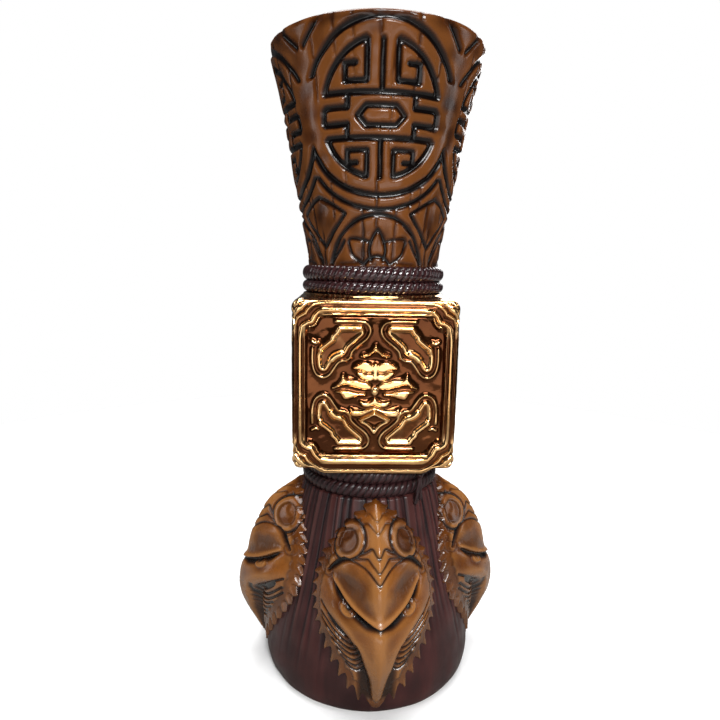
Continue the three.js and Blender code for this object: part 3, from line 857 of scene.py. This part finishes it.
def build_panels():
    half_x, half_z = POCKET_HALF
    columns, rows = 210, 220
    x, z = np.meshgrid(np.linspace(-half_x, half_x, columns), np.linspace(-half_z, half_z, rows))
    border = outline_distance(x, z, band_outline()) + BAND_TO_POCKET
    relief = panel_height(x, z)
    relief = soften(relief, (1.0, 1.0)) + 0.05 * waves(x, z, 8, 31) + 0.015 * waves(x, z, 3, 32)
    relief = relief + 0.7 * soften(relief, (3.5, 3.5)) * np.exp(-np.abs(relief) / 0.35)
    marks = relief_marks(relief, (6, 6), cavity_scale=0.5)
    # The low field takes the dark copper-brown ground, and the recess mark adds painted shade at the feet of the
    # relief.
    low_field = 1 - rise(relief, 0.6, 1.1)
    marks["cavity"] = np.maximum(marks["cavity"] * 0.6, low_field)
    back = BLOCK_HALF - POCKET_DEPTH - 0.3
    field = BLOCK_HALF - POCKET_DEPTH + 0.55
    relief = relief * (1 - rise(border, -0.9, -0.1))
    front_y = np.minimum(field + relief, BLOCK_HALF) - 0.3 * rise(border, -0.35, 0.05)
    kept = (border[:-1, :-1] < 0.1)
    for quarter, side in enumerate(SIDES):
        turn = quarter * math.pi / 2

        def on_face(out):
            flat_x = x * math.cos(turn) + out * math.sin(turn)
            flat_y = x * math.sin(turn) - out * math.cos(turn)
            return np.stack([flat_x, flat_y, z + BLOCK_MIDDLE], axis=-1)

        points, faces, used = closed_relief(on_face(front_y), on_face(np.full(x.shape, back)), kept)
        values = {mark: np.tile(value.ravel(), 2)[used] for mark, value in marks.items()}
        make_mesh(
            f"block_panel_{side}_relief", points, faces, values, [gold_lustre],
            [f"block_panel_{side}"],
        )


# ---- Skirt ----
skirt_radius = smooth_rows(SKIRT_PROFILE)


def straw_height(angle, z):
    """Irregular upright straw ridges that die out towards the foot."""
    random = np.random.default_rng(7)
    count = 74
    edges = np.sort((np.arange(count) + random.uniform(-0.36, 0.36, count)) * TWO_PI / count)
    height = np.zeros(angle.shape)
    fade = rise(z, 14, 44)
    for edge in edges:
        reach = random.uniform(7, 32)
        slant = random.uniform(-0.035, 0.035)
        depth = random.uniform(0.25, 0.6)
        width = random.uniform(0.35, 0.75)
        turn = (angle - edge - slant * (z - 40) / 40 + math.pi) % TWO_PI - math.pi
        across = turn * 36
        line = groove(np.abs(across), width, width * 0.8) * rise(z, reach - 4, reach + 14)
        height = height - depth * line * (0.45 + 0.55 * fade)
        side = random.choice([-1, 1])
        height = height + 0.22 * side * np.tanh(across) * np.exp(-np.abs(across) / 2.2) * fade
    return height


def build_skirt():
    columns = 700
    angle = np.arange(columns) * TWO_PI / columns
    outer_z = np.concatenate([[0.0, 0.25, 0.9, 2.0], np.linspace(3.5, SKIRT_HIGH, 92)])
    outer_r = skirt_radius(outer_z)
    outer_r[:3] -= [0.8, 0.3, 0.05]
    inner_z = np.linspace(SKIRT_HIGH - 7, FLOOR_TOP + 4, 8)
    inner_r = skirt_radius(inner_z) - WALL
    corner = skirt_radius(FLOOR_TOP) - WALL
    first = [(1.0, FOOT_RECESS), (FOOT_RING - 2.2, FOOT_RECESS), (FOOT_RING - 0.6, 0.9), (FOOT_RING + 0.6, 0)]
    neck = [(NECK_RADIUS, SKIRT_HIGH), (NECK_RADIUS, SKIRT_NECK_HIGH), (NECK_BORE, SKIRT_NECK_HIGH), (NECK_BORE, SKIRT_HIGH + 1)]
    last = [(corner - 1.4, FLOOR_TOP + 1.4), (corner - 5, FLOOR_TOP), (1.0, FLOOR_TOP)]
    radius_rows = np.concatenate([[r for r, _ in first], outer_r, [r for r, _ in neck], inner_r, [r for r, _ in last]])
    z_rows = np.concatenate([[z for _, z in first], outer_z, [z for _, z in neck], inner_z, [z for _, z in last]])
    a, z = np.meshgrid(angle, z_rows)
    outside = slice(len(first), len(first) + len(outer_z))
    height = np.zeros(a.shape)
    straw = straw_height(a[outside], z[outside])
    height[outside] = soften(straw + 0.1 * waves(a[outside] * 40, z[outside], 14, 5), (0.4, 0.8), wrap=True)
    height[outside] = np.minimum(height[outside], 0.35)
    marks = relief_marks(height, (3, 7), wrap=True, cavity_scale=0.4)
    radius = radius_rows[:, None] + height
    rows = len(z_rows)
    points = around(radius, a, z).reshape(-1, 3)
    faces = grid_faces(rows, columns)
    row_of_face = np.repeat(np.arange(rows - 1), columns)
    index = np.zeros(len(faces), int)
    index[row_of_face >= len(first) + len(outer_z)] = 1
    index[row_of_face < len(first) + 1] = 2
    make_mesh(
        "skirt_shell_straw", points, faces, marks, [skirt_glaze, inner_glaze, bare_clay],
        ["skirt_shell"], index,
    )


# ---- Bird masks ----
# [height, half-width along the skirt, ridge height above the skirt, cheek height at the middle, beak half-width]
MASK_ROWS = np.array([
    [3.0, 2.5, 1.0, 0.9, 0.8], [6.0, 7.0, 1.4, 1.1, 1.0], [8.5, 9.5, 2.4, 1.4, 1.3], [11.0, 12.0, 4.0, 1.8, 1.5],
    [15.0, 15.6, 7.0, 2.6, 1.8], [20.0, 18.8, 10.6, 4.0, 2.2], [25.0, 21.6, 13.8, 6.0, 2.9],
    [29.0, 23.2, 15.6, 7.6, 3.6], [34.0, 24.6, 16.9, 9.8, 5.2], [38.0, 25.2, 17.3, 12.0, 7.4],
    [42.0, 25.5, 17.0, 14.4, 10.5], [46.0, 25.4, 16.4, 15.4, 13.0], [50.0, 24.8, 16.6, 16.0, 14.0],
    [55.0, 23.2, 16.4, 16.2, 14.0], [60.0, 21.3, 15.6, 15.5, 14.0], [65.0, 18.6, 14.4, 14.3, 14.0],
    [70.0, 15.2, 12.8, 12.7, 14.0], [73.5, 12.2, 10.4, 10.3, 14.0], [77.0, 8.4, 6.6, 6.5, 14.0],
    [79.0, 5.4, 4.0, 3.9, 14.0], [81.4, 1.6, 1.6, 1.5, 14.0],
])
mask_half_width = smooth_rows(MASK_ROWS, 1)
mask_ridge = smooth_rows(MASK_ROWS, 2)
mask_cheek = smooth_rows(MASK_ROWS, 3)
beak_half_width = smooth_rows(MASK_ROWS, 4)

# How much lower the crown sits than the heights in the tables below, which stretch evenly above the brow
CROWN_DROP = 1.7

# Tips of the frill's teeth down one side: across, up
TOOTH_TIPS = np.array([
    (4.8, 79.4), (8.7, 76.6), (12.5, 72.8), (16.3, 68.6), (19.4, 64.2), (21.9, 59.8), (23.8, 55.2), (25.2, 50.6),
    (25.9, 46.0), (26.0, 41.4), (25.3, 37.0), (24.1, 32.8), (22.3, 28.6), (19.9, 24.4), (17.3, 20.0),
    (14.3, 15.4), (10.9, 10.8), (6.6, 6.4),
])


def frill_outline():
    """Right half of the serrated border, from the top tip down to the beak tip."""
    points = [(0.0, 81.6)]
    for i, tip in enumerate(TOOTH_TIPS):
        following = TOOTH_TIPS[i + 1] if i + 1 < len(TOOTH_TIPS) else np.array([2.6, 3.6])
        along = following - tip
        length = np.linalg.norm(along)
        along /= length
        inward = np.array([along[1], -along[0]])
        depth = np.interp(tip[1], [5, 20, 35, 60, 80], [2.8, 3.4, 3.0, 2.3, 1.6])
        points.append(tuple(tip - along * 0.16 * length - inward * 0.1))
        points.append(tuple(tip + along * 0.1))
        points.append(tuple(tip + inward * depth * 0.55 - along * 0.02 * length))
        points.append(tuple(tip + inward * depth - along * 0.02 * length))
        points.append(tuple(tip + inward * depth * 0.9 + along * 0.18 * length))
    points.append((1.6, 3.4))
    points.append((0.0, 2.8))
    return np.array(points)


BROW_EDGE = bend_through([(-0.6, 42.4), (2.6, 43.8), (6.6, 46.4), (9.6, 48.9), (12.0, 51.4), (14.0, 53.2)], steps=5)
BROW = np.concatenate([BROW_EDGE, bend_through([
    (15.6, 55.0), (14.8, 57.4), (11.8, 59.3), (8.4, 60.1), (5.4, 59.0), (3.0, 56.2), (1.2, 53.2), (-0.6, 51.4),
], steps=5)])
EYE = (8.8, 46.0)
OVAL = (9.6, 68.4)
OVAL_TILT = math.radians(-55)
FOREHEAD_LINES = [
    ([(0, 57.0), (1.0, 58.8), (2.6, 61.0), (4.6, 62.3), (7.5, 62.7), (10.2, 61.8)], 0.3),
    ([(0, 61.4), (1.2, 63.0), (2.9, 65.4)], 0.25),
    ([(2.9, 65.4), (5.2, 64.4), (8.2, 63.2)], 0.25),
    ([(0, 66.0), (0.9, 67.6), (1.7, 69.0), (3.4, 67.4), (6.0, 65.0), (8.6, 62.9)], 0.3),
    ([(0, 73.4), (1.4, 74.4), (2.8, 75.4), (4.6, 74.8)], 0.15),
    ([(0, 76.4), (1.2, 77.2), (2.4, 78.0), (3.6, 77.4)], 0.12),
    ([(5.4, 76.0), (9.4, 74.0), (13.2, 70.0), (15.6, 65.4)], 0.22),
]
BROW_FORK = [(8.4, 62.9), (10.4, 62.7), (12.6, 61.2), (15.2, 58.2), (17.4, 55.0), (16.6, 55.2), (14.2, 57.8), (11.2, 60.8)]
CHEEK_LINES = [
    [(19.4, 43.2), (15.6, 40.4), (11.4, 36.8), (8.0, 33.8), (7.3, 32.0), (8.8, 31.0), (12.0, 32.2), (16.0, 35.6), (19.6, 39.4)],
    [(6.6, 34.4), (5.6, 31.4), (6.4, 29.6), (9.0, 28.8), (12.6, 30.2), (16.6, 33.4), (20.0, 37.0)],
    [(5.4, 29.8), (6.4, 27.6), (8.8, 26.7), (12.0, 27.8), (16.0, 30.7)],
    [(4.9, 27.2), (6.0, 25.2), (8.4, 24.3), (11.4, 25.4), (14.4, 27.7)],
    [(4.5, 24.6), (5.6, 22.8), (7.8, 22.0), (10.4, 23.0), (12.8, 24.9)],
    [(4.2, 22.2), (5.2, 20.6), (7.2, 20.0), (9.4, 20.8), (11.2, 22.4)],
]
CHEEK_SLOT = [(9.4, 33.6), (10.8, 33.7), (13.6, 36.0), (16.2, 38.7), (16.6, 40.2), (14.8, 39.5), (11.8, 37.1), (9.6, 35.0)]


def brow_and_eye(u, z, shade_and_dark_marks, film):
    """Brow plate with its undercut, a painted shadow under its edge, and the eye below it: height, dark marks with
    painted shade, and film.
    """
    brow = outline_distance(u, z, BROW)
    edge = line_distance(u, z, BROW_EDGE)
    within = rise(-brow, -0.25, 0.2)
    plate = within * (0.85 * np.exp(-(edge / 1.2) ** 2) - 0.25 * rise(-brow, 1.0, 4.5))
    outside = 1 - within
    below = (z < 46.0 + 0.75 * u) & (z > 38)
    under = outside * below * np.exp(-(edge / 1.7) ** 2)
    reach = rise(u, 0.6, 4.0) * (1 - rise(u, 12.5, 14.5))
    depth = 0.6 + 1.5 * reach
    hollow = np.exp(-(((u - 8.0) / 4.0) ** 2 + ((z - 53.2) / 3.2) ** 2)) * within
    height = plate - 0.7 * hollow - depth * under
    # Painted shadow: a dark band under the brow's lower edge, widest below the eye.
    brow_shadow = outside * below * (1 - rise(edge, 0.7 + 0.9 * reach, 1.9 + 1.3 * reach)) * (1 - rise(u, 13.0, 15.5))
    eye_distance = np.hypot(u - EYE[0], (z - EYE[1]) * 1.15)
    ball = np.sqrt(np.clip(1 - (eye_distance / 1.6) ** 2, 0, 1)) * outside
    lid_angle = np.arctan2(z - EYE[1], u - EYE[0])
    lid = np.exp(-((eye_distance - 2.05) / 0.42) ** 2) * outside * (1 - rise(np.abs(lid_angle + 1.0), 1.5, 2.0))
    height = height + 0.9 * ball + 1.0 * lid
    pupil = 1 - rise(np.hypot(u - EYE[0] + 0.45, z - EYE[1] - 0.6), 0.9, 1.2)
    # The painted shadow goes into the dark marks, except on the lid.
    shade_and_dark_marks = np.maximum(shade_and_dark_marks, brow_shadow * (1 - lid))
    # The eyeball takes its dark pupil and a little of the painted shadow.
    shade_and_dark_marks = np.where(ball > 0.05, np.maximum(pupil, brow_shadow * 0.3), shade_and_dark_marks)
    film = np.maximum(film, rise(-brow, 0.4, 2.4) * 0.8)
    # Painted shade in the hollow of the brow plate.
    shade_and_dark_marks = np.maximum(shade_and_dark_marks, 0.3 * hollow)
    around_eye = np.exp(-(((u - 8.5) / 6.0) ** 2 + ((z - 44.5) / 4.5) ** 2)) * outside
    return height, shade_and_dark_marks, np.clip(film - 1.2 * around_eye, 0, 1)


def forehead(u, z):
    """Oval discs, crown lines and scallops: height, line depth, and darkening of the oval's dish and its rim."""
    du, dz = u - OVAL[0], z - OVAL[1]
    long_axis = du * math.cos(OVAL_TILT) + dz * math.sin(OVAL_TILT)
    cross_axis = -du * math.sin(OVAL_TILT) + dz * math.cos(OVAL_TILT)
    oval = np.hypot(long_axis / 7.3, cross_axis / 4.7)
    disc = 1 - rise(oval, 0.93, 1.0)
    dish = 1 - rise(oval, 0.54, 0.72)
    height = 0.35 * disc - 0.5 * dish
    # Darker along the rim of the dish and inside the dish.
    shade_and_dark_marks = 0.5 * np.exp(-((oval - 0.64) / 0.1) ** 2) + 0.25 * dish
    lines = 0.75 * groove(np.abs(oval - 1.05) * 4.6, 0.3, 0.3)
    for points, half_width in FOREHEAD_LINES:
        line = bend_through(points, steps=4)
        lines = np.maximum(lines, 0.7 * groove(line_distance(u, z, line), half_width, 0.3) * (1 - disc))
    fork = outline_distance(u, z, BROW_FORK)
    lines = np.maximum(lines, 1.2 * groove(np.clip(fork, 0, None), 0.2, 0.3))
    for centre_u, centre_z, size in ((13.0, 62.9, 2.5), (15.6, 59.8, 2.6), (17.7, 56.2, 2.8), (19.0, 60.2, 2.0)):
        scallop = np.abs(np.hypot(u - centre_u, (z - centre_z) * 0.9) - size)
        where = (z < centre_z + 0.3) * (1 - disc)
        lines = np.maximum(lines, 0.4 * groove(scallop, 0.2, 0.3) * where)
    return height, lines, shade_and_dark_marks


def cheek_lines(u, z):
    """Looped grooves beside the beak."""
    lines = np.zeros(u.shape)
    for i, points in enumerate(CHEEK_LINES):
        line = bend_through(points, steps=5)
        strength = 0.95 - 0.04 * i
        lines = np.maximum(lines, strength * groove(line_distance(u, z, line), 0.38, 0.4))
    slot = outline_distance(u, z, bend_through(CHEEK_SLOT, closed=True))
    return np.maximum(lines, 1.0 * groove(np.clip(slot, 0, None), 0.1, 0.3))


def mask_surface(u, z):
    """Height of a mask above the skirt for u across (either side) and z up, with its dark marks and painted shade, and
    its film.
    """
    t = np.clip(u / mask_half_width(z), 0, 1)
    ridge_t = np.sqrt(t**2 + 0.018**2) - 0.018
    power = 0.95 + 0.42 * rise(z, 38, 56)
    rim = 1.2
    cheek, ridge, beak = mask_cheek(z), mask_ridge(z), beak_half_width(z)
    height = rim + (cheek - rim) * np.clip(1 - ridge_t, 0, 1) ** power
    x = (np.sqrt(u**2 + 0.3**2) - 0.3) / beak
    wall = 1 - rise(x, 0.95, 1.85)
    height = height + (ridge - cheek) * np.where(x < 0.95, 1 - 0.26 * x, 0.753 * wall)
    shade_and_dark_marks = np.zeros(u.shape)
    film = 0.6 * (1 - rise(z, 30, 40)) + 0.45 * rise(t, 0.68, 0.85) * (1 - rise(z, 50, 60))

    beside = rise(u, beak, beak * 1.3 + 0.5) * (1 - rise(u, 5.6, 8.0)) * (1 - rise(z, 19, 26)) * rise(z, 5.5, 8.5)
    height = height - 0.9 * beside
    # Painted shade in the recess beside the beak.
    shade_and_dark_marks = np.maximum(shade_and_dark_marks, 0.85 * beside)
    foot = np.exp(-((u - beak * 1.7 - 0.5) / 1.3) ** 2) * rise(z, 10, 20) * (1 - rise(z, 32, 38))
    height = height - 0.4 * foot
    # Painted shade in the groove at the foot of the beak's side.
    shade_and_dark_marks = np.maximum(shade_and_dark_marks, 0.7 * foot)

    raised, shade_and_dark_marks, film = brow_and_eye(u, z, shade_and_dark_marks, film)
    crown, lines, oval_darkening = forehead(u, z)
    height = height + raised + crown
    lines = np.maximum(lines, cheek_lines(u, z))
    height = height - lines
    # The grooves are darkened with painted shade.
    shade_and_dark_marks = np.maximum(np.maximum(shade_and_dark_marks, oval_darkening), rise(lines, 0.15, 0.45))
    return height, shade_and_dark_marks, np.clip(film, 0, 1)


def build_masks():
    half = 27.0
    columns, rows = 208, 300
    s, level = np.meshgrid(np.linspace(-half, half, columns), np.linspace(2.2, 80.8, rows))
    z = level + CROWN_DROP * rise(level, 44, 68)
    u = np.abs(s)
    outline = frill_outline()
    half_shape = np.concatenate([outline, [(-1.0, 2.8), (-1.0, 81.6)]])
    border = line_distance(u, z, outline)
    border = np.where(inside(u, z, half_shape), -border, border)

    height, shade_and_dark_marks, film = mask_surface(u, z)
    frill = rise(border, -3.4, -2.4) * (1 - rise(z, 70, 75))
    ribs = np.zeros(u.shape)
    for i, tip in enumerate(TOOTH_TIPS):
        before = TOOTH_TIPS[max(i - 1, 0)]
        after = TOOTH_TIPS[min(i + 1, len(TOOTH_TIPS) - 1)]
        along = (after - before) / np.linalg.norm(after - before)
        root = tip + np.array([along[1], -along[0]]) * 3.0 - along * 2.6
        ribs = np.maximum(ribs, groove(line_distance(u, z, [root, tip]), 0.2, 0.35))
    height = height - frill * 0.45 + 0.3 * ribs * frill
    step = np.exp(-((border + 2.9) / 0.4) ** 2) * (1 - rise(z, 70, 75))
    # Painted shade along the frill's step.
    shade_and_dark_marks = np.maximum(shade_and_dark_marks, 0.5 * step)
    height = soften(height, (0.7, 0.7))
    grain = waves(s * 3.0 + 1.2 * z, z * 0.5, 2.4, 43) * (film > 0.3)
    height = height + 0.06 * waves(s, z, 7, 41) + 0.025 * grain
    marks = relief_marks(height, (7, 7), cavity_scale=0.7, raised_scale=0.5)
    # The painted shade and dark marks join the recess mark.
    marks["cavity"] = np.maximum(marks["cavity"] * 0.6, soften(shade_and_dark_marks, (0.8, 0.8)))
    marks["film"] = soften(film, (4, 4))

    base = skirt_radius(level)
    edge = rise(border, -0.45, 0.25)
    front_r = base + height * (1 - edge) - 0.5 * edge
    back_r = base - 0.9
    kept = border[:-1, :-1] < 0.2
    angle = s / base
    for quarter, side in enumerate(SIDES):
        turn = quarter * math.pi / 2 + MASK_TURN
        front, rear = around(front_r, angle + turn, level), around(back_r, angle + turn, level)
        points, faces, used = closed_relief(front, rear, kept)
        values = {mark: np.tile(value.ravel(), 2)[used] for mark, value in marks.items()}
        make_mesh(f"mask_{side}_carved", points, faces, values, [mask_glaze], [f"mask_{side}"])


# ---- Studio ----
def build_camera():
    """Camera at the height of the upper rope, a little to the left, looking slightly down."""
    distance = 0.2334
    eye_height = 0.1695
    turn, yaw, pitch, roll = math.radians(-3), -0.0204, 0.167, 0.0161
    forward = Vector((math.sin(yaw) * math.cos(pitch), math.cos(yaw) * math.cos(pitch), -math.sin(pitch)))
    right = forward.cross(Vector((0, 0, 1))).normalized()
    up = right.cross(forward)
    rolled_right = right * math.cos(roll) + up * math.sin(roll)
    rolled_up = up * math.cos(roll) - right * math.sin(roll)
    axes = Matrix((rolled_right, rolled_up, -forward)).transposed()
    about_z = Matrix.Rotation(turn, 3, "Z")
    data = bpy.data.cameras.new("camera")
    data.sensor_width = 36
    data.lens = 28
    data.clip_start = 0.01
    camera = bpy.data.objects.new("camera", data)
    bpy.context.scene.collection.objects.link(camera)
    place = about_z @ Vector((0, -distance, eye_height))
    camera.matrix_world = Matrix.Translation(place) @ (about_z @ axes).to_4x4()
    bpy.context.scene.camera = camera


def add_softbox(name, place, target, size, power, colour=(1, 1, 1)):
    light = bpy.data.lights.new(name, "AREA")
    light.shape = "RECTANGLE"
    light.size, light.size_y = size
    light.energy = power
    light.color = colour
    lamp = bpy.data.objects.new(name, light)
    lamp.location = place
    lamp.visible_camera = False
    lamp.rotation_euler = (Vector(target) - Vector(place)).to_track_quat("-Z", "Y").to_euler()
    bpy.context.scene.collection.objects.link(lamp)


def build_world():
    """White to look at, dim in reflections, so that the gold keeps its contrast."""
    world = bpy.data.worlds.new("studio")
    bpy.context.scene.world = world
    world.use_nodes = True
    tree = world.node_tree
    seen = tree.nodes["Background"]
    seen.inputs["Color"].default_value = (1, 1, 1, 1)
    seen.inputs["Strength"].default_value = 1.0
    lit = tree.nodes.new("ShaderNodeBackground")
    lit.inputs["Color"].default_value = (0.95, 0.97, 1.0, 1)
    lit.inputs["Strength"].default_value = 0.06
    path = tree.nodes.new("ShaderNodeLightPath")
    mix = tree.nodes.new("ShaderNodeMixShader")
    tree.links.new(path.outputs["Is Camera Ray"], mix.inputs["Fac"])
    tree.links.new(lit.outputs["Background"], mix.inputs[1])
    tree.links.new(seen.outputs["Background"], mix.inputs[2])
    tree.links.new(mix.outputs["Shader"], tree.nodes["World Output"].inputs["Surface"])


def build_floor():
    """Round sheet of pale paper."""
    radius, count = 0.5, 96
    turn = np.arange(count) * TWO_PI / count
    points = [(radius * math.cos(t), radius * math.sin(t), 0) for t in turn]
    mesh = bpy.data.meshes.new("studio_floor")
    mesh.from_pydata(points, [], [tuple(range(count))])
    floor = bpy.data.objects.new("studio_floor", mesh)
    floor.location.z = -0.0002
    bpy.context.scene.collection.objects.link(floor)
    material, tree, shader = node_tree("floor_paper")
    wiring = Wiring(tree)
    tone = wiring.spread(wiring.noise(60, 3), 0.3, 0.7)
    paper = wiring.mix(tone, (0.90, 0.90, 0.90, 1), (0.94, 0.94, 0.94, 1))
    seen = wiring.add("ShaderNodeLightPath").outputs["Is Camera Ray"]
    wiring.link(wiring.mix(seen, (0.27, 0.262, 0.25, 1), paper), shader.inputs["Base Color"])
    shader.inputs["Roughness"].default_value = 0.9
    mesh.materials.append(material)


def build_studio():
    build_world()
    build_floor()
    bpy.context.scene.view_settings.view_transform = "Standard"
    target = (0, 0, 0.13)
    add_softbox("key", (0.12, -0.75, 0.60), target, (0.28, 0.22), 7.5)
    add_softbox("front_low", (0.0, -0.75, 0.03), target, (0.9, 0.22), 1.5)
    add_softbox("left", (-0.75, -0.10, 0.30), target, (0.10, 0.5), 0.5)
    add_softbox("right", (0.75, 0.0, 0.30), target, (0.10, 0.5), 0.5)
    add_softbox("top", (0.0, 0.05, 0.95), (0, 0, 0), (0.6, 0.6), 11)
    add_softbox("rear", (0.2, 0.8, 0.5), target, (0.6, 0.5), 5)


build_camera()
build_studio()
build_cup()
for rope, twist, seed in (
    ("upper_rope_top", 66, 51), ("upper_rope_bottom", 64, 52), ("lower_rope_top", 66, 53), ("lower_rope_bottom", 64, 54),
):
    build_rope(rope, twist, seed)
build_rope_tail()
build_block()
build_panels()
build_skirt()
build_masks()
